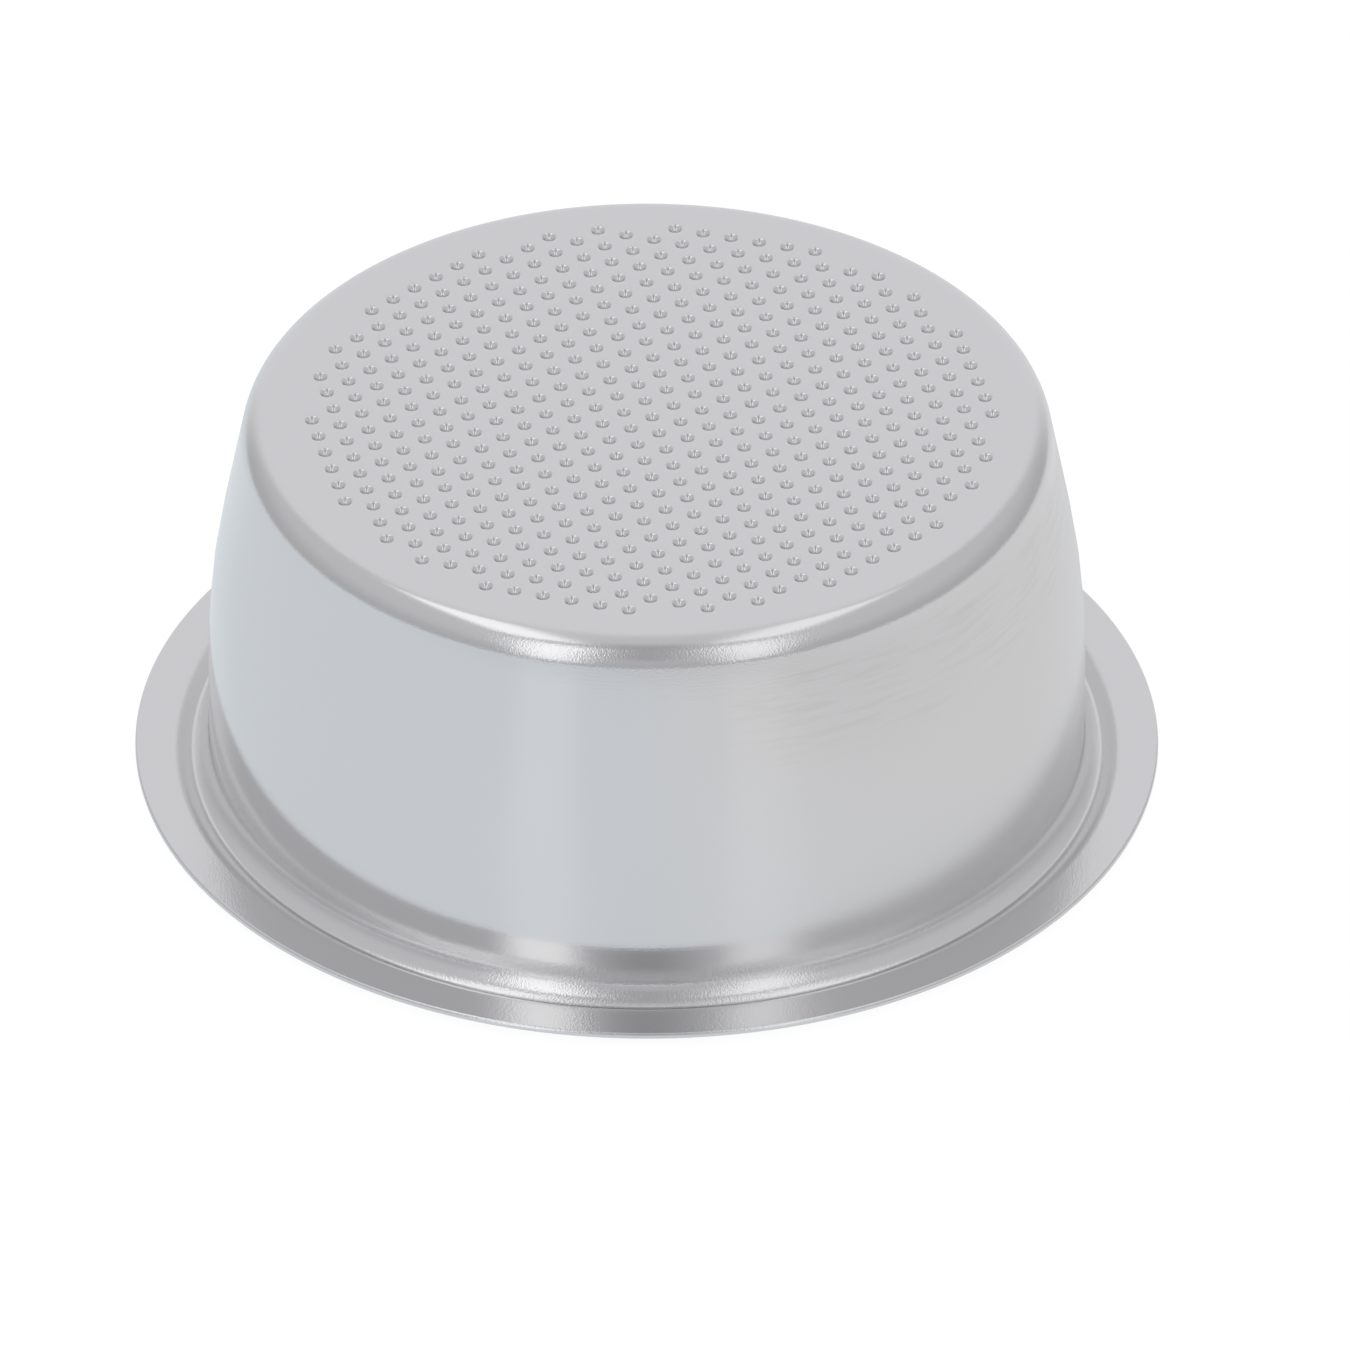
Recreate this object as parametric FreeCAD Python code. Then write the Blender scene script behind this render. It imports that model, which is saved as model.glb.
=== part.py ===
import FreeCAD, Part
import math
import os

# Espresso filter basket: one cup drawn from thin stainless sheet, with a flange round its mouth
# and a perforated base. It stands mouth down, as on a bench after washing, so the axis is Z,
# the flange's lowest ring is at z = 0 and the perforated base is on top. All sizes are millimetres.

# Sheet and overall sizes
sheet = 0.4
flange_diameter = 60.8
wall_diameter = 52.0
height = 23.89

# Flange: a flat band outside, and a round-bottomed groove between the band and the wall
band_width = 2.42
lip_bend = 1.2
groove_slope = 33.0
valley_width = 1.0
valley_bend = 0.25
root_slope = 30.0
root_straight = 0.13

# Wall: straight at the mouth, then curving into a taper that ends at a rounded base corner
taper_start = 11.7
taper_angle = 11.0
barrel_radius = 50.0
base_corner_radius = 1.85

# Base holes: a triangular lattice, turned and a little off centre, each a countersunk pinhole
hole_pitch = 1.737
hole_field_margin = 1.8
hole_field_turn = -16.4
hole_field_offset = 0.3
countersink_diameter = 0.9
countersink_depth = 0.31
pinhole_diameter = 0.28

# Room that a cutting tool leaves above and below the sheet
tool_reach = 0.2


def rounded_path(points, bends):
    """Join the points with straight runs and tangent arcs; bends holds one radius a corner."""
    edges = []
    start = points[0]
    for before, corner, after, radius in zip(points, points[1:], points[2:], bends):
        back = (before - corner).normalize()
        ahead = (after - corner).normalize()
        half_angle = back.getAngle(ahead) / 2
        run_in = corner + back * (radius / math.tan(half_angle))
        run_out = corner + ahead * (radius / math.tan(half_angle))
        bisector = (back + ahead).normalize()
        middle = corner + bisector * (radius / math.sin(half_angle) - radius)
        edges.append(Part.LineSegment(start, run_in).toShape())
        edges.append(Part.Arc(run_in, middle, run_out).toShape())
        start = run_out
    edges.append(Part.LineSegment(start, points[-1]).toShape())
    return Part.Wire(edges)


def tangent_length(radius, turn):
    """How much of each side of a corner a bend of this radius uses up; turn in degrees."""
    return radius * math.tan(math.radians(turn) / 2)


def root_bend():
    """Radius of the bend from the wall into the groove: the largest that its slope has room for."""
    slope_length = valley_width / math.cos(math.radians(root_slope))
    room = slope_length - tangent_length(valley_bend, root_slope + groove_slope) - root_straight
    return room / tangent_length(1.0, 90.0 - root_slope)


def valley_corner_height():
    """Height of the groove's corner before bending, so that the bent sheet rests on z = 0."""
    inner = math.radians(root_slope)
    outer = math.radians(groove_slope)
    centre_rise = valley_bend * (math.sin(inner) + math.sin(outer)) / math.sin(inner + outer)
    return sheet + valley_bend - centre_rise


def base_corner_run():
    """How far the taper has brought the wall in where it would meet the base unbent."""
    return (height - taper_start) * math.tan(math.radians(taper_angle))


def outside_points():
    """Corners of the sheet's outer face, from the flange's edge to the middle of the base."""
    wall_radius = wall_diameter / 2
    flange_radius = flange_diameter / 2
    lip_radius = flange_radius - band_width
    valley_radius = wall_radius + valley_width
    valley = valley_corner_height()
    root = valley + valley_width * math.tan(math.radians(root_slope))
    band_top = valley + (lip_radius - valley_radius) * math.tan(math.radians(groove_slope))
    return [
        FreeCAD.Vector(flange_radius, 0, band_top),
        FreeCAD.Vector(lip_radius, 0, band_top),
        FreeCAD.Vector(valley_radius, 0, valley),
        FreeCAD.Vector(wall_radius, 0, root),
        FreeCAD.Vector(wall_radius, 0, taper_start),
        FreeCAD.Vector(wall_radius - base_corner_run(), 0, height),
        FreeCAD.Vector(0, 0, height),
    ]


def drawn_cup():
    """The bent sheet without its holes, as one section turned about the axis."""
    bends = [lip_bend, valley_bend, root_bend(), barrel_radius, base_corner_radius]
    outside = rounded_path(outside_points(), bends)
    section = outside.makeOffset2D(sheet, fill=True, openResult=True)
    return section.revolve(FreeCAD.Vector(0, 0, 0), FreeCAD.Vector(0, 0, 1), 360)


def hole_places():
    """Centres of the base holes: lattice points inside the round field."""
    turn = math.radians(hole_field_turn)
    corner_width = tangent_length(base_corner_radius, 90.0 - taper_angle)
    base_flat_radius = wall_diameter / 2 - base_corner_run() - corner_width
    field_radius = base_flat_radius - hole_field_margin
    reach = math.ceil(2 * field_radius / hole_pitch)
    places = []
    for row in range(-reach, reach + 1):
        for column in range(-reach, reach + 1):
            along = hole_pitch * (column + row / 2)
            across = hole_pitch * row * math.sqrt(3) / 2
            if math.hypot(along, across) > field_radius:
                continue
            x = hole_field_offset + along * math.cos(turn) - across * math.sin(turn)
            y = along * math.sin(turn) + across * math.cos(turn)
            places.append(FreeCAD.Vector(x, y, height))
    return places


def hole_tool():
    """A cutter for one hole, its countersink opening upwards from the base's face at z = 0."""
    rim = countersink_diameter / 2
    pin = pinhole_diameter / 2
    bottom = -sheet - tool_reach
    outline = Part.makePolygon([
        FreeCAD.Vector(0, 0, bottom),
        FreeCAD.Vector(pin, 0, bottom),
        FreeCAD.Vector(pin, 0, -countersink_depth),
        FreeCAD.Vector(rim, 0, 0),
        FreeCAD.Vector(rim, 0, tool_reach),
        FreeCAD.Vector(0, 0, tool_reach),
        FreeCAD.Vector(0, 0, bottom),
    ])
    return Part.Face(outline).revolve(FreeCAD.Vector(0, 0, 0), FreeCAD.Vector(0, 0, 1), 360)


def filter_basket():
    """The whole basket: the drawn cup with every base hole cut through."""
    cutter = hole_tool()
    cutters = [cutter.translated(place) for place in hole_places()]
    return drawn_cup().cut(Part.makeCompound(cutters))


basket = filter_basket()
os.makedirs("parts", exist_ok=True)
basket.exportStep("parts/filter_basket.step")
print("holes:", len(hole_places()), "root bend:", round(root_bend(), 3))
print("corners:", [(round(point.x, 3), round(point.z, 3)) for point in outside_points()])
print("valid:", basket.isValid(), "solids:", len(basket.Solids), "volume:", round(basket.Volume, 1))
print("box:", basket.optimalBoundingBox())
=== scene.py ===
# %% [markdown]
# # An espresso filter basket, mouth down
# The real object is a cup drawn from one disc of thin stainless sheet. A press bends a grooved
# flange round its mouth, rounds its base corner and pierces hundreds of fine holes in its base.
# This lesson builds that sheet with bmesh operators, gives it the satin finish of pressed steel
# and stands it in a small white studio.

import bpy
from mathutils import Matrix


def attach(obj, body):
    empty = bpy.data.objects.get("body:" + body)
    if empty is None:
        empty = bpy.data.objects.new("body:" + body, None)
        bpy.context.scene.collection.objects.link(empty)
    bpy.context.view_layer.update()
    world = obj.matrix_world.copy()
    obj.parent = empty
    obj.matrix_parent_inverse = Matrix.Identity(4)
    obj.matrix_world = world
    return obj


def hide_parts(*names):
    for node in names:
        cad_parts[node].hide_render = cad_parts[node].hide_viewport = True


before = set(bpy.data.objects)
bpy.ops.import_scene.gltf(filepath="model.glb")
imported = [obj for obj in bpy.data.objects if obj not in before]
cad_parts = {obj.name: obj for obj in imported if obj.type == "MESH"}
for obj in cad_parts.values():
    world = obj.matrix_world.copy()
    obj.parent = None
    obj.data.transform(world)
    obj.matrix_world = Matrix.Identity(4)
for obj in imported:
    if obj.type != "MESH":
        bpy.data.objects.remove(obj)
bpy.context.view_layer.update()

# %% Blender's modules and the unit
import bmesh
import bpy
import math
from mathutils import Matrix, Vector

MM = 0.001
CLOSE = 0.005
print("points closer than", CLOSE, "mm count as one")

# %% [markdown]
# ## The sizes of the sheet
# A pressed sheet is described by its outer face: a row of corners, each with a bend radius. The
# values are the real ones in millimetres, and the corners are worked out from them, so a change
# of one size carries through the whole basket.

# %% Sheet, flange and wall
sheet = 0.4
height = 23.89
wall_radius = 26.0
flange_radius = 30.4
band_width = 2.42
lip_bend = 1.2
groove_slope = math.radians(33.0)
valley_width = 1.0
valley_bend = 0.25
root_slope = math.radians(30.0)
root_straight = 0.13
cut_edge_bevel = 0.16

taper_start = 11.7
taper_angle = math.radians(11.0)
barrel_bend = 50.0
corner_bend = 1.85

taper_width = (height - taper_start) * math.tan(taper_angle)
base_flat_radius = wall_radius - taper_width - corner_bend * math.tan((math.pi / 2 - taper_angle) / 2)
print("flat of the base: radius", round(base_flat_radius, 2))

# %% [markdown]
# ### The groove beside the wall
# The wall runs down into a round-bottomed groove, and the flange's flat band starts behind it. The
# groove's sharp corner lies a little below its round bottom. Its height follows from the bend, so
# that the sheet rests on z = 0. The bend from the wall into the groove is the largest that fits.

# %% The groove's corners and its root bend
slopes = math.sin(root_slope) + math.sin(groove_slope)
valley_rise = valley_bend * slopes / math.sin(root_slope + groove_slope)
valley_level = sheet + valley_bend - valley_rise
valley_radius = wall_radius + valley_width
lip_radius = flange_radius - band_width
root_level = valley_level + valley_width * math.tan(root_slope)
band_top = valley_level + (lip_radius - valley_radius) * math.tan(groove_slope)
slope_length = valley_width / math.cos(root_slope)
valley_share = valley_bend * math.tan((root_slope + groove_slope) / 2)
root_bend = (slope_length - valley_share - root_straight) / math.tan((math.pi / 2 - root_slope) / 2)
print("band top", round(band_top, 3), "root bend", round(root_bend, 3))

# %% [markdown]
# ## The cup: a bent line, turned once round
# A lathe-like shape needs only half of its section. The line starts as one vertex. Straight runs
# are vertex extrusions and each bend is a small spin of the last vertex about the bend's centre,
# so the bends are true arcs. One full spin about the axis then makes the outer face, and
# solidify gives it the sheet's thickness. A Screw or Solidify modifier would do the same, but
# the operators leave plain faces that the perforated base can be sewn to.

# %% A line with rounded corners
BEND_STEP = math.radians(9.0)


def run_to(bm, vertex, place):
    """Extrude a straight run from vertex to place and return its far vertex."""
    made = bmesh.ops.extrude_vert_indiv(bm, verts=[vertex])
    far = made["verts"][0]
    far.co = place
    return far


def bend(bm, vertex, before, corner, after, radius):
    """Round one corner: a run to where the bend starts, then a spin of its last vertex."""
    back = (before - corner).normalized()
    ahead = (after - corner).normalized()
    half = back.angle(ahead) / 2
    start = run_to(bm, vertex, corner + back * (radius / math.tan(half)))
    centre = corner + (back + ahead).normalized() * (radius / math.sin(half))
    turn = math.pi - 2 * half
    axis = (corner - before).cross(after - corner).normalized()
    steps = max(3, math.ceil(turn / BEND_STEP))
    arc = bmesh.ops.spin(bm, geom=[start], cent=centre, axis=axis, angle=turn, steps=steps)
    return [v for v in arc["geom_last"] if isinstance(v, bmesh.types.BMVert)][0]


# %% The outer face's corners
plate_inset = 0.25
plate_radius = base_flat_radius - plate_inset
SPIN_STEPS = 288


def outside_corners():
    """Corners of the outer face and their bends, from the base's flat to the flange's edge."""
    return [
        (plate_radius, height, 0),
        (wall_radius - taper_width, height, corner_bend),
        (wall_radius, taper_start, barrel_bend),
        (wall_radius, root_level, root_bend),
        (valley_radius, valley_level, valley_bend),
        (lip_radius, band_top, lip_bend),
        (flange_radius, band_top, 0),
    ]


def drawn_cup(bm):
    """Spin the rounded line once round the axis: the cup's outer face, open at the base."""
    corners = outside_corners()
    places = [Vector((r, 0, z)) * MM for r, z, bend_radius in corners]
    radii = [bend_radius * MM for r, z, bend_radius in corners]
    last = bm.verts.new(places[0])
    for k in range(1, len(places) - 1):
        last = bend(bm, last, places[k - 1], places[k], places[k + 1], radii[k])
    run_to(bm, last, places[-1])
    line = bm.verts[:] + bm.edges[:]
    print("points on the line:", len(bm.verts))
    bmesh.ops.spin(bm, geom=line, cent=(0, 0, 0), axis=(0, 0, 1), angle=2 * math.pi,
                   steps=SPIN_STEPS, use_merge=True)
    bmesh.ops.remove_doubles(bm, verts=bm.verts[:], dist=CLOSE * MM)
    bmesh.ops.recalc_face_normals(bm, faces=bm.faces[:])


cup = bmesh.new()
drawn_cup(cup)
outward = max(cup.faces, key=lambda f: f.calc_center_median().z)
if outward.normal.z < 0:
    bmesh.ops.reverse_faces(cup, faces=cup.faces[:])
print("outer face:", len(cup.faces), "faces")

# %% [markdown]
# ## Thickness and the cut edge
# Solidify keeps the outer face where it is and adds the inner one. It also closes both open
# ends. The closing faces at the base come off again, because the perforated plate goes there.
# The flange's edge was sheared, and a very small bevel on both of its corners catches light.

# %% Solidify and bevel
bmesh.ops.solidify(cup, geom=cup.faces[:], thickness=sheet * MM)
cup.normal_update()


def ring_radius(element):
    """Mean distance of an edge's or a face's vertices from the axis, in millimetres."""
    return sum(v.co.xy.length for v in element.verts) / len(element.verts) / MM


ends = [f for f in cup.faces if abs(ring_radius(f) - plate_radius) < CLOSE]
bmesh.ops.delete(cup, geom=ends, context="FACES")
cut_edges = [e for e in cup.edges if abs(ring_radius(e) - flange_radius) < CLOSE
             and abs(e.verts[0].co.z - e.verts[1].co.z) < CLOSE * MM]
bmesh.ops.bevel(cup, geom=cut_edges, offset=cut_edge_bevel * MM, offset_type="OFFSET", segments=3,
                profile=0.5, affect="EDGES", material=-1)
print("cup with thickness:", len(cup.faces), "faces; end faces taken off:", len(ends))

# %% [markdown]
# ## One hole
# Each base hole is a pinhole with a countersink on the outside. The base is a honeycomb of equal
# cells, so one cell is modelled with care and then repeated. A hexagon with its sides halved has
# 12 points, enough for a round hole this small. Rings extruded inwards and down make the flat
# round the hole, its softened rim, the cone, the softened throat, the pinhole and the underside:
# 7 rings of 12 faces.

# %% The cell's rings
hole_pitch = 1.737
countersink_radius = 0.45
countersink_depth = 0.31
pinhole_radius = 0.14
rim_rounding = 0.03
throat_rounding = 0.06
rounding_drop = 0.6
lattice_turn = math.radians(-16.4)


def cone_depth(radius):
    """Depth of the countersink's cone at this radius."""
    return countersink_depth * (countersink_radius - radius) / (countersink_radius - pinhole_radius)


def hole_rings():
    """Radius and depth of each ring of one hole, from its rim to the underside."""
    shoulder = countersink_radius - 2.5 * rim_rounding
    throat = pinhole_radius + throat_rounding
    return [
        (countersink_radius + rim_rounding, 0.0),
        (countersink_radius - rim_rounding / 3, rounding_drop * rim_rounding),
        (shoulder, cone_depth(shoulder)),
        (throat, cone_depth(throat)),
        (pinhole_radius, countersink_depth + rounding_drop * throat_rounding),
        (pinhole_radius, sheet),
    ]


def hole_cell():
    """One hexagonal cell of the base round the origin, its outer face at z = 0."""
    bm = bmesh.new()
    hexagon = hole_pitch / math.sqrt(3) * MM
    turned = Matrix.Rotation(lattice_turn, 4, "Z")
    bmesh.ops.create_circle(bm, segments=6, radius=hexagon, matrix=turned)
    bmesh.ops.subdivide_edges(bm, edges=bm.edges[:], cuts=1)
    outline = [v.co.copy() for v in bm.verts]
    loop = bm.edges[:]
    for radius, depth in hole_rings():
        made = bmesh.ops.extrude_edge_only(bm, edges=loop)["geom"]
        loop = [e for e in made if isinstance(e, bmesh.types.BMEdge)]
        for v in [g for g in made if isinstance(g, bmesh.types.BMVert)]:
            flat = v.co.xy.normalized() * radius * MM
            v.co = (flat.x, flat.y, -depth * MM)
    made = bmesh.ops.extrude_edge_only(bm, edges=loop)["geom"]
    for v in [g for g in made if isinstance(g, bmesh.types.BMVert)]:
        corner = min(outline, key=lambda place: place.xy.angle(v.co.xy))
        v.co = (corner.x, corner.y, -sheet * MM)
    return bm


cell = hole_cell()
print("one hole:", len(cell.faces), "faces")

# %% [markdown]
# ## The lattice of holes
# The punch works on a triangular lattice, trimmed to a round field. It is turned a little and
# sits slightly off centre, as on the real basket. Equal cells share their borders, so merging
# doubles sews them into one plate.

# %% Repeat the cell
field_margin = 1.8
field_offset = 0.3


def hole_places():
    """Centres of the holes: lattice points inside the round field, turned and offset."""
    field_radius = base_flat_radius - field_margin
    reach = math.ceil(2 * field_radius / hole_pitch)
    places = []
    for row in range(-reach, reach + 1):
        for column in range(-reach, reach + 1):
            place = Vector((column + row / 2, row * math.sqrt(3) / 2, 0)) * hole_pitch
            if place.length > field_radius:
                continue
            place.rotate(Matrix.Rotation(lattice_turn, 3, "Z"))
            places.append(Vector((place.x + field_offset, place.y, height)))
    return places


cell_mesh = bpy.data.meshes.new("cell")
cell.to_mesh(cell_mesh)
cell.free()
plate = bmesh.new()
for place in hole_places():
    before = len(plate.verts)
    plate.from_mesh(cell_mesh)
    plate.verts.ensure_lookup_table()
    bmesh.ops.translate(plate, verts=plate.verts[before:], vec=place * MM)
bpy.data.meshes.remove(cell_mesh)
bmesh.ops.remove_doubles(plate, verts=plate.verts[:], dist=CLOSE * MM)
print("holes:", len(hole_places()), "plate faces:", len(plate.faces))

# %% [markdown]
# ## Sew the plate into the cup
# Both meshes come together in one bmesh. What is left open is a ring between the honeycomb's
# jagged outline and the cup's round edge, once on the outer face and once on the inner one.
# Triangle fill closes each ring with flat faces.

# %% One sheet
sewn = bpy.data.meshes.new("plate")
plate.to_mesh(sewn)
plate.free()
cup.from_mesh(sewn)
bpy.data.meshes.remove(sewn)
for level in (height, height - sheet):
    ring = [e for e in cup.edges if e.is_boundary
            and all(abs(v.co.z - level * MM) < CLOSE * MM for v in e.verts)]
    filled = bmesh.ops.triangle_fill(cup, use_beauty=True, edges=ring)
    print("ring at", level, "mm:", len(ring), "edges,", len(filled["geom"]), "new edges and faces")
bmesh.ops.recalc_face_normals(cup, faces=cup.faces[:])
print("open edges left:", sum(1 for e in cup.edges if not e.is_manifold))

# %% [markdown]
# ## From bmesh to a piece
# Flat steel must shade as flat, and bends as smooth curves. Smooth shading with steep corners
# kept sharp does most of it. The Weighted Normal modifier then lets the wide flat faces rule the
# normals at their borders, so the shine of a bend does not leak into the flat beside it.

# %% The basket
SHARP_FROM = math.radians(40.0)
mesh = bpy.data.meshes.new("basket")
for face in cup.faces:
    face.smooth = True
cup.to_mesh(mesh)
cup.free()
mesh.set_sharp_from_angle(angle=SHARP_FROM)
basket = bpy.data.objects.new("basket", mesh)
bpy.context.scene.collection.objects.link(basket)
weighted = basket.modifiers.new("flat faces rule", "WEIGHTED_NORMAL")
weighted.mode = "FACE_AREA"
weighted.keep_sharp = True
mesh.calc_loop_triangles()
print("basket:", len(mesh.loop_triangles), "triangles")

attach(basket, "root")
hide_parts("filter_basket")

# %% [markdown]
# ## Small helpers for materials
# Colours are written as the sRGB hex values that a colour picker shows. Blender computes with
# linear light, so one function converts them. Another adds a shader node with its settings and
# links in one call, and a node given to it as an input stands for that node's first output.
# A Mix node has one set of sockets for each kind of data: for colours 6, 7 and output 2.

# %% Colour and node helpers
SMOOTH = {"interpolation_type": "SMOOTHSTEP"}
MULTIPLY = {"operation": "MULTIPLY"}
DIVIDE = {"operation": "DIVIDE"}
MAXIMUM = {"operation": "MAXIMUM"}
ABSOLUTE = {"operation": "ABSOLUTE"}
NUMBERS = {"data_type": "FLOAT"}
COLOURS = {"data_type": "RGBA"}


def linear(hex_colour):
    """Turn an sRGB colour such as #CBCACE into the linear RGBA values of a shader."""
    channels = [int(hex_colour[k:k + 2], 16) / 255 for k in (1, 3, 5)]
    return [c / 12.92 if c <= 0.04045 else ((c + 0.055) / 1.055) ** 2.4 for c in channels] + [1.0]


def add_node(tree, kind, settings=None, inputs=None):
    """Add a node, set its properties, then set each input or link it to a node or socket."""
    node = tree.nodes.new(kind)
    for name, value in (settings or {}).items():
        setattr(node, name, value)
    for name, value in (inputs or {}).items():
        if isinstance(value, bpy.types.Node):
            value = value.outputs[0]
        if isinstance(value, bpy.types.NodeSocket):
            tree.links.new(value, node.inputs[name])
        else:
            node.inputs[name].default_value = value
    return node


# %% [markdown]
# ## Satin stainless steel
# The sheet is austenitic stainless steel, pressed and left as it comes from the tool. Flat parts
# keep the smooth mill finish. The wall slid through the die and has fine marks round it, which
# spread reflections into soft upright bands. Its right side is duller from handling, with faint
# darker streaks near the base. The tight bends were stretched, and their surface shows a fine
# orange-peel grain.
#
# Each finish begins and ends with a soft fade. A fade runs along one axis from a place where the
# finish is absent to a place where it is full, and products of fades give the zones.

# %% The zones of the finishes
FADES_MM = {
    "wall foot": ("Z", 2.0, 6.0),
    "wall top": ("Z", 22.6, 20.8),
    "corner foot": ("Z", 22.1, 22.6),
    "corner top": ("Z", 23.6, 23.35),
    "flange": ("Z", 3.0, 1.8),
    "dull side": ("X", 2.0, 14.0),
    "streak foot": ("Z", 13.5, 18.5),
    "streak side": ("X", 3.0, 8.0),
}
root_top = 1.6
straight_wall = 3.0


def finish_zones(tree, place):
    """Masks from 0 to 1 for the finishes, by name."""
    axes = add_node(tree, "ShaderNodeSeparateXYZ", inputs={0: place}).outputs
    zones = {}
    for name, (axis, absent, full) in FADES_MM.items():
        zones[name] = add_node(tree, "ShaderNodeMapRange", SMOOTH, {
            "Value": axes[axis], "From Min": absent * MM, "From Max": full * MM})
    above_root = add_node(tree, "ShaderNodeMapRange", inputs={
        "Value": axes["Z"], "From Min": root_top * MM, "From Max": straight_wall * MM})
    corner = add_node(tree, "ShaderNodeMath", MULTIPLY, {0: zones["corner foot"], 1: zones["corner top"]})
    handled = add_node(tree, "ShaderNodeMath", MULTIPLY, {0: zones["streak side"], 1: zones["streak foot"]})
    zones["drawn"] = add_node(tree, "ShaderNodeMath", MULTIPLY, {0: above_root, 1: zones["wall top"]})
    zones["marks"] = add_node(tree, "ShaderNodeMath", MULTIPLY, {0: zones["wall foot"], 1: zones["wall top"]})
    zones["bends"] = add_node(tree, "ShaderNodeMath", MAXIMUM, {0: corner, 1: zones["flange"]})
    zones["streaks"] = add_node(tree, "ShaderNodeMath", MULTIPLY, {0: handled, 1: zones["wall top"]})
    return zones


# %% [markdown]
# ### Marks, grain and streaks
# The marks and streaks are noise drawn out round the cup, and the grain is plain noise. Their
# patches have real sizes. Real draw marks are a few hundredths of a millimetre high, too fine to
# show here, so they are drawn as coarse as they need to show.

# %% The relief and the colour
MARK_HEIGHT = 0.10
MARK_LENGTH = 6.0
MARK_STRENGTH = 0.02
GRAIN = 0.12
GRAIN_ON_FLATS = 0.02
GRAIN_ON_BENDS = 0.10
STREAK_HEIGHT = 0.35
STREAK_LENGTH = 3.5
STREAK_STRENGTH = 0.25


def drawn_out_noise(tree, place, length, height, detail):
    """Noise with patches of this length and height, in millimetres."""
    scale = (1 / (length * MM), 1 / (length * MM), 1 / (height * MM))
    stretched = add_node(tree, "ShaderNodeMapping", inputs={"Vector": place, "Scale": scale})
    return add_node(tree, "ShaderNodeTexNoise", inputs={"Vector": stretched, "Scale": 1.0, "Detail": detail})


def relief(tree, place, zones):
    """The normal of a surface with draw marks on the wall and grain on the bends."""
    marks = drawn_out_noise(tree, place, MARK_LENGTH, MARK_HEIGHT, 2.0)
    marks = add_node(tree, "ShaderNodeMath", MULTIPLY, {0: marks, 1: zones["marks"]})
    marked = add_node(tree, "ShaderNodeBump", inputs={
        "Height": marks, "Strength": MARK_STRENGTH, "Distance": MARK_HEIGHT * MM})
    strength = add_node(tree, "ShaderNodeMapRange", inputs={
        "Value": zones["bends"], "To Min": GRAIN_ON_FLATS, "To Max": GRAIN_ON_BENDS})
    grain = add_node(tree, "ShaderNodeTexNoise", inputs={
        "Vector": place, "Scale": 1 / (GRAIN * MM), "Detail": 1.0})
    return add_node(tree, "ShaderNodeBump", inputs={
        "Height": grain, "Strength": strength, "Distance": GRAIN * MM, "Normal": marked})


def streaked_colour(tree, place, zones):
    """Bare steel with faint darker streaks where hands and tools rub it."""
    streaks = drawn_out_noise(tree, place, STREAK_LENGTH, STREAK_HEIGHT, 3.0)
    share = add_node(tree, "ShaderNodeMapRange", inputs={
        "Value": streaks, "From Min": 0.48, "From Max": 0.72, "To Max": STREAK_STRENGTH})
    share = add_node(tree, "ShaderNodeMath", MULTIPLY, {0: share, 1: zones["streaks"]})
    colour = add_node(tree, "ShaderNodeMix", COLOURS, {0: share, 6: linear("#E1E0E0"), 7: linear("#CDCAC6")})
    return colour.outputs[2]


# %% [markdown]
# ### The steel as a whole
# A metal takes its colour and brightness from what it mirrors, so roughness does most of the
# work: low on the drawn wall's left side, higher on its dull side and in between on the bends.

# %% The steel material
SMOOTH_WALL_ROUGHNESS = 0.11
DULL_WALL_ROUGHNESS = 0.265
BEND_ROUGHNESS = 0.17


def pressed_steel():
    """Satin stainless steel: smooth flats, a drawn wall with fine marks, grained bends."""
    material = bpy.data.materials.new("pressed_stainless_steel")
    material.use_nodes = True
    tree = material.node_tree
    shader = tree.nodes["Principled BSDF"]
    shader.inputs["Metallic"].default_value = 1.0
    place = add_node(tree, "ShaderNodeTexCoord").outputs["Object"]
    zones = finish_zones(tree, place)
    wall = add_node(tree, "ShaderNodeMapRange", inputs={
        "Value": zones["dull side"], "To Min": SMOOTH_WALL_ROUGHNESS, "To Max": DULL_WALL_ROUGHNESS})
    rough = add_node(tree, "ShaderNodeMix", NUMBERS, {
        "Factor": zones["drawn"], "A": BEND_ROUGHNESS, "B": wall})
    tree.links.new(rough.outputs["Result"], shader.inputs["Roughness"])
    tree.links.new(relief(tree, place, zones).outputs["Normal"], shader.inputs["Normal"])
    tree.links.new(streaked_colour(tree, place, zones), shader.inputs["Base Color"])
    return material


steel = pressed_steel()
mesh.materials.append(steel)
print("steel nodes:", len(steel.node_tree.nodes))

# %% [markdown]
# ## The studio
# Bare steel shows little but its surroundings, so the surroundings are the real material here.
# The basket stands on a small white table inside a white tent, which lights it from all sides.
# The camera sees the tent as plain white. Reflections see its real tones: a little lighter
# overhead than at the sides, with a lighter panel behind the table and, in front, a dark slit
# that the camera looks through.

# %% The tent's tones, as reflections see them
TENT_LOW = 0.53
TENT_HIGH = 0.64
PANEL_TONE = 0.815
SLIT_DEPTH = 0.33
FILL = 0.8

world = bpy.data.worlds.new("white_tent")
bpy.context.scene.world = world
world.use_nodes = True
tree = world.node_tree
tree.nodes.clear()

direction = add_node(tree, "ShaderNodeTexCoord").outputs["Generated"]
side, back, up = add_node(tree, "ShaderNodeSeparateXYZ", inputs={0: direction}).outputs
tent = add_node(tree, "ShaderNodeMapRange", SMOOTH, {
    "Value": up, "From Min": 0.0, "From Max": 0.6, "To Min": TENT_LOW, "To Max": TENT_HIGH})
sideways = add_node(tree, "ShaderNodeMath", ABSOLUTE, {0: side})

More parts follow.
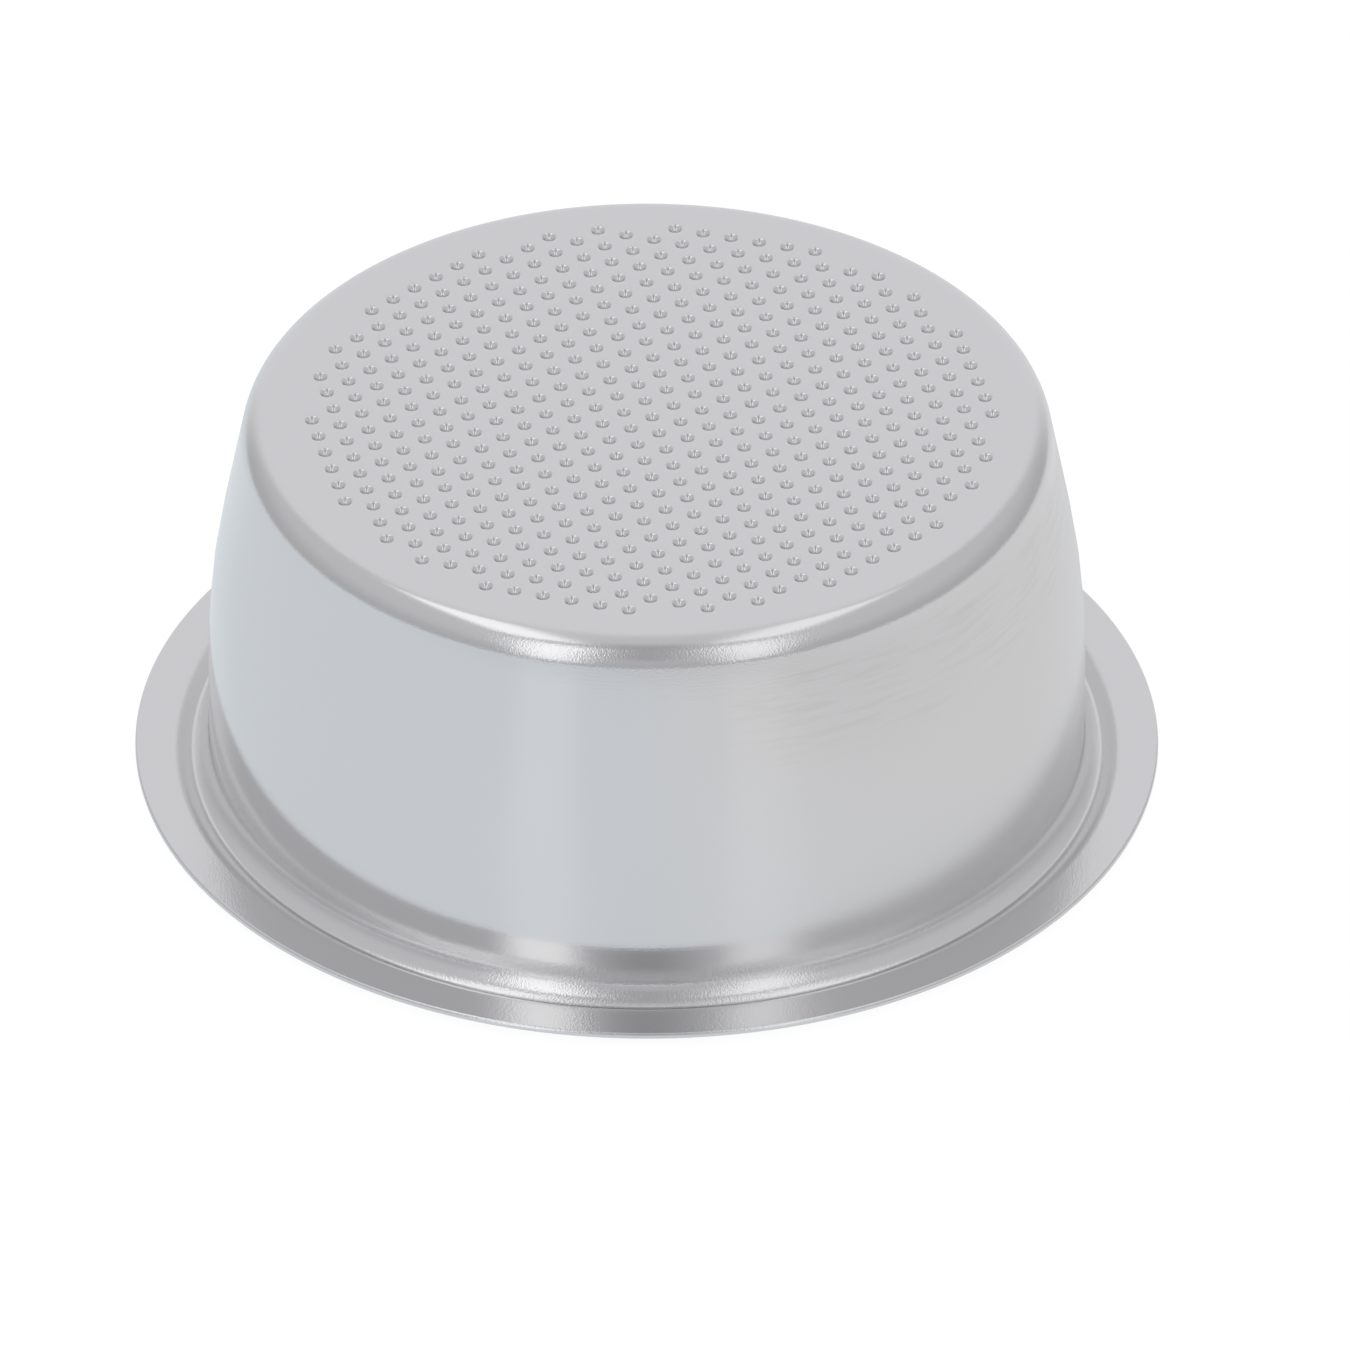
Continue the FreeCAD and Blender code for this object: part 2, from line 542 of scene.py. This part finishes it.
# %% The panel behind the table
backwards = add_node(tree, "ShaderNodeMath", MAXIMUM, {0: back, 1: 0.001})
off_centre = add_node(tree, "ShaderNodeMath", DIVIDE, {0: sideways, 1: backwards})
panel_width = add_node(tree, "ShaderNodeMapRange", SMOOTH, {
    "Value": off_centre, "From Min": 0.45, "From Max": 0.95, "To Min": 1.0, "To Max": 0.0})
panel_height = add_node(tree, "ShaderNodeMapRange", SMOOTH, {
    "Value": up, "From Min": 0.76, "From Max": 1.05, "To Min": 1.0, "To Max": 0.0})
panel = add_node(tree, "ShaderNodeMath", MULTIPLY, {0: panel_width, 1: panel_height})
tone = add_node(tree, "ShaderNodeMix", NUMBERS, {"Factor": panel, "A": tent, "B": PANEL_TONE})

# %% The slit in front
slit_width = add_node(tree, "ShaderNodeMapRange", SMOOTH, {
    "Value": sideways, "From Min": 0.06, "From Max": 0.22, "To Min": 1.0, "To Max": 0.0})
slit_front = add_node(tree, "ShaderNodeMapRange", SMOOTH, {
    "Value": back, "From Min": -0.05, "From Max": -0.38})
slit_height = add_node(tree, "ShaderNodeMapRange", SMOOTH, {"Value": up, "From Min": 0.2, "From Max": 0.5})
slit = add_node(tree, "ShaderNodeMath", MULTIPLY, {0: slit_width, 1: slit_front})
slit = add_node(tree, "ShaderNodeMath", MULTIPLY, {0: slit, 1: slit_height})
slit = add_node(tree, "ShaderNodeMapRange", inputs={"Value": slit, "To Min": 1.0, "To Max": 1.0 - SLIT_DEPTH})
tone = add_node(tree, "ShaderNodeMath", MULTIPLY, {0: tone, 1: slit})

# %% What each kind of ray sees
rays = add_node(tree, "ShaderNodeLightPath").outputs
seen = add_node(tree, "ShaderNodeMath", MAXIMUM, {0: rays["Is Camera Ray"], 1: rays["Is Transmission Ray"]})
strength = add_node(tree, "ShaderNodeMix", NUMBERS, {"Factor": rays["Is Glossy Ray"], "A": FILL, "B": tone})
strength = add_node(tree, "ShaderNodeMix", NUMBERS, {"Factor": seen, "A": strength, "B": 1.0})
background = add_node(tree, "ShaderNodeBackground", inputs={"Color": linear("#FAFBFF"), "Strength": strength})
add_node(tree, "ShaderNodeOutputWorld", inputs={"Surface": background})
print("tent nodes:", len(tree.nodes))

# %% [markdown]
# ## The softboxes
# Two softboxes hang overhead, left and right, and two narrow ones stand in front and make the
# bright upright bands. The ends of each are given as directions seen from the basket. A lamp
# does not hide the tent, so its radiance adds to the tent's tone behind it. An area lamp gives
# radiance times pi times its area in watts.

# %% Softboxes
LAMP_DISTANCE = 0.6
OVERHEAD_WIDTH = 0.15
STRIP_WIDTH = 0.14


def towards(azimuth, elevation):
    """A place at the lamps' distance: azimuth in degrees from the front, to the right, and elevation."""
    a = math.radians(azimuth)
    e = math.radians(elevation)
    return Vector((math.sin(a) * math.cos(e), -math.cos(a) * math.cos(e), math.sin(e))) * LAMP_DISTANCE


def softbox(name, ends, width, radiance):
    """A rectangular area lamp that faces the basket, its long side from end to end."""
    first, last = [towards(*end) for end in ends]
    centre = (first + last) / 2
    along = (last - first).normalized()
    facing = centre.normalized()
    facing = (facing - along * facing.dot(along)).normalized()
    lamp = bpy.data.lights.new(name, "AREA")
    lamp.shape = "RECTANGLE"
    lamp.size = width
    lamp.size_y = (last - first).length
    lamp.energy = radiance * math.pi * lamp.size * lamp.size_y
    item = bpy.data.objects.new(name, lamp)
    turn = Matrix((along.cross(facing), along, facing)).transposed().to_4x4()
    item.matrix_world = Matrix.Translation(centre) @ turn
    item.visible_camera = False
    bpy.context.scene.collection.objects.link(item)
    print(name, "watts:", round(lamp.energy, 3))


softbox("overhead_left", ends=((-44, 64), (-136, 64)), width=OVERHEAD_WIDTH, radiance=0.60)
softbox("overhead_right", ends=((44, 64), (136, 64)), width=OVERHEAD_WIDTH, radiance=0.42)
softbox("strip_left", ends=((-30, 56), (-24.5, 1)), width=STRIP_WIDTH, radiance=0.68)
softbox("strip_right", ends=((34, 56), (26.5, 1)), width=STRIP_WIDTH, radiance=0.48)

# %% [markdown]
# ## The table
# The table is a white disc. It keeps the basket's soft shadow, and the camera and reflections
# see most of it as plain white, which Light Path makes possible without any extra light on the
# basket. Reflections see it a little cooler on the left, and with a trace of gloss that mirrors
# the tent.

# %% The board's finish
WHITE_SHARE = 0.85
WHITE_STRENGTH = 1.07
GLOSS_SHARE = 0.12
GLOSS_ROUGHNESS = 0.25


def white_board():
    """Matt white board that camera and reflections see as nearly plain white."""
    material = bpy.data.materials.new("matt_white_board")
    material.use_nodes = True
    tree = material.node_tree
    matt = tree.nodes["Principled BSDF"]
    matt.inputs["Base Color"].default_value = linear("#F4F4F4")
    matt.inputs["Roughness"].default_value = 0.9
    matt.inputs["Specular IOR Level"].default_value = 0.0
    place = add_node(tree, "ShaderNodeTexCoord").outputs["Object"]
    side = add_node(tree, "ShaderNodeSeparateXYZ", inputs={0: place}).outputs["X"]
    rightwards = add_node(tree, "ShaderNodeMapRange", SMOOTH, {
        "Value": side, "From Min": -0.02, "From Max": 0.04})
    mirrored = add_node(tree, "ShaderNodeMix", COLOURS, {
        0: rightwards, 6: linear("#DDE4EA"), 7: linear("#E2E3E4")})
    rays = add_node(tree, "ShaderNodeLightPath").outputs
    glossy = rays["Is Glossy Ray"]
    tint = add_node(tree, "ShaderNodeMix", COLOURS, {0: glossy, 6: linear("#FFFFFF"), 7: mirrored.outputs[2]})
    glow = add_node(tree, "ShaderNodeEmission", inputs={"Color": tint.outputs[2], "Strength": WHITE_STRENGTH})
    seen = add_node(tree, "ShaderNodeMath", MAXIMUM, {0: rays["Is Camera Ray"], 1: glossy})
    seen = add_node(tree, "ShaderNodeMath", MAXIMUM, {0: seen, 1: rays["Is Transmission Ray"]})
    white_share = add_node(tree, "ShaderNodeMath", MULTIPLY, {0: seen, 1: WHITE_SHARE})
    board = add_node(tree, "ShaderNodeMixShader", inputs={0: white_share, 1: matt, 2: glow})
    gloss_share = add_node(tree, "ShaderNodeMath", MULTIPLY, {0: glossy, 1: GLOSS_SHARE})
    gloss = add_node(tree, "ShaderNodeBsdfAnisotropic", inputs={"Roughness": GLOSS_ROUGHNESS})
    finish = add_node(tree, "ShaderNodeMixShader", inputs={0: gloss_share, 1: board, 2: gloss})
    tree.links.new(finish.outputs[0], tree.nodes["Material Output"].inputs["Surface"])
    return material


# %% A white table
table_radius = 0.14
table_place = Matrix.Translation((-0.008, 0.0, 0.0))
disc = bmesh.new()
bmesh.ops.create_circle(disc, cap_ends=True, segments=96, radius=table_radius, matrix=table_place)
table_mesh = bpy.data.meshes.new("table")
disc.to_mesh(table_mesh)
disc.free()
table_mesh.materials.append(white_board())
table = bpy.data.objects.new("table", table_mesh)
bpy.context.scene.collection.objects.link(table)
print("table:", 2 * table_radius, "metres wide")

# %% [markdown]
# ## The camera
# A long lens a good metre away, 35 degrees above the table, gives the photograph's view.

# %% Camera
camera_place = Vector((0.0, -1.11394, 0.780561))
aim = Vector((0.001674, 0.002255, 0.003811))
roll = math.radians(0.109)
focal_length = 609.93

camera_data = bpy.data.cameras.new("camera")
camera_data.sensor_width = 36.0
camera_data.lens = focal_length
camera_data.clip_start = 0.01
camera = bpy.data.objects.new("camera", camera_data)
camera.location = camera_place
look = (aim - camera_place).to_track_quat("-Z", "Y").to_matrix()
camera.rotation_euler = (look @ Matrix.Rotation(roll, 3, "Z")).to_euler()
bpy.context.scene.collection.objects.link(camera)
bpy.context.scene.camera = camera
bpy.context.scene.view_settings.view_transform = "Standard"
print("camera distance:", round((aim - camera_place).length, 3), "metres")
